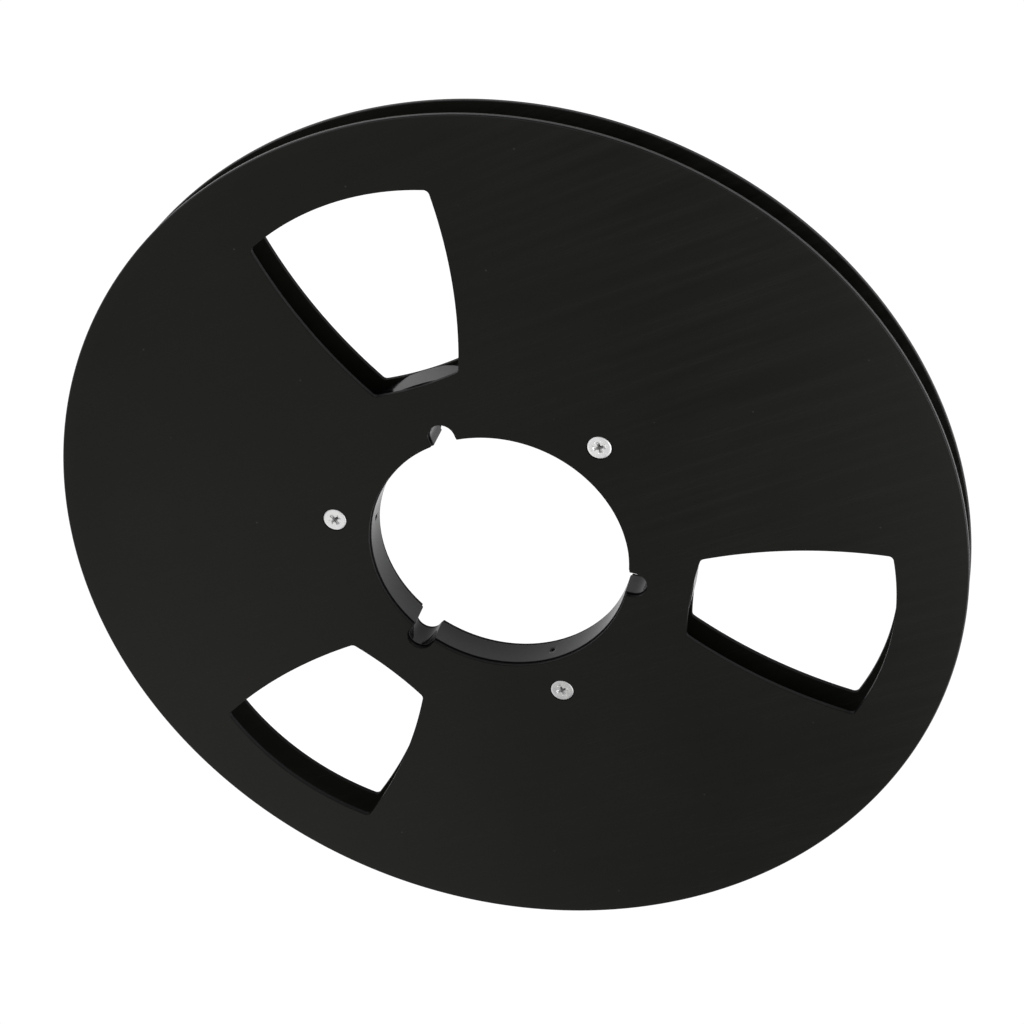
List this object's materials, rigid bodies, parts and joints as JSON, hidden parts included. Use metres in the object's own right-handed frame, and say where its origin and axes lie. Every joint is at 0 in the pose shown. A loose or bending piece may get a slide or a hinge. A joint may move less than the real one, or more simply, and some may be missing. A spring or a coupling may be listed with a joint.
{
  "type": "open tape reel",
  "caption": "Open tape reel: flat windowed flanges screwed to a wide-bore hub ring with drive notches, holding tape wound between them.",
  "frame": {"origin": "centre of the rear flange's outer face, on the spindle axis", "axes": "+Z along the spindle axis towards the front flange; +Y through the middle of one window and its drive notch"},
  "size_m": [0.2666, 0.2666, 0.012],
  "materials": {
    "flange": "black anodised, fine brushed",
    "hub": "black anodised, turned",
    "screw": "bright zinc plate"
  },
  "bodies": {
    "root": {"rear_flange": "flange", "hub": "hub", "front_flange": "flange", "front_screw_1": "screw", "front_screw_2": "screw", "front_screw_3": "screw", "rear_screw_1": "screw", "rear_screw_2": "screw", "rear_screw_3": "screw"}
  },
  "joints": []
}
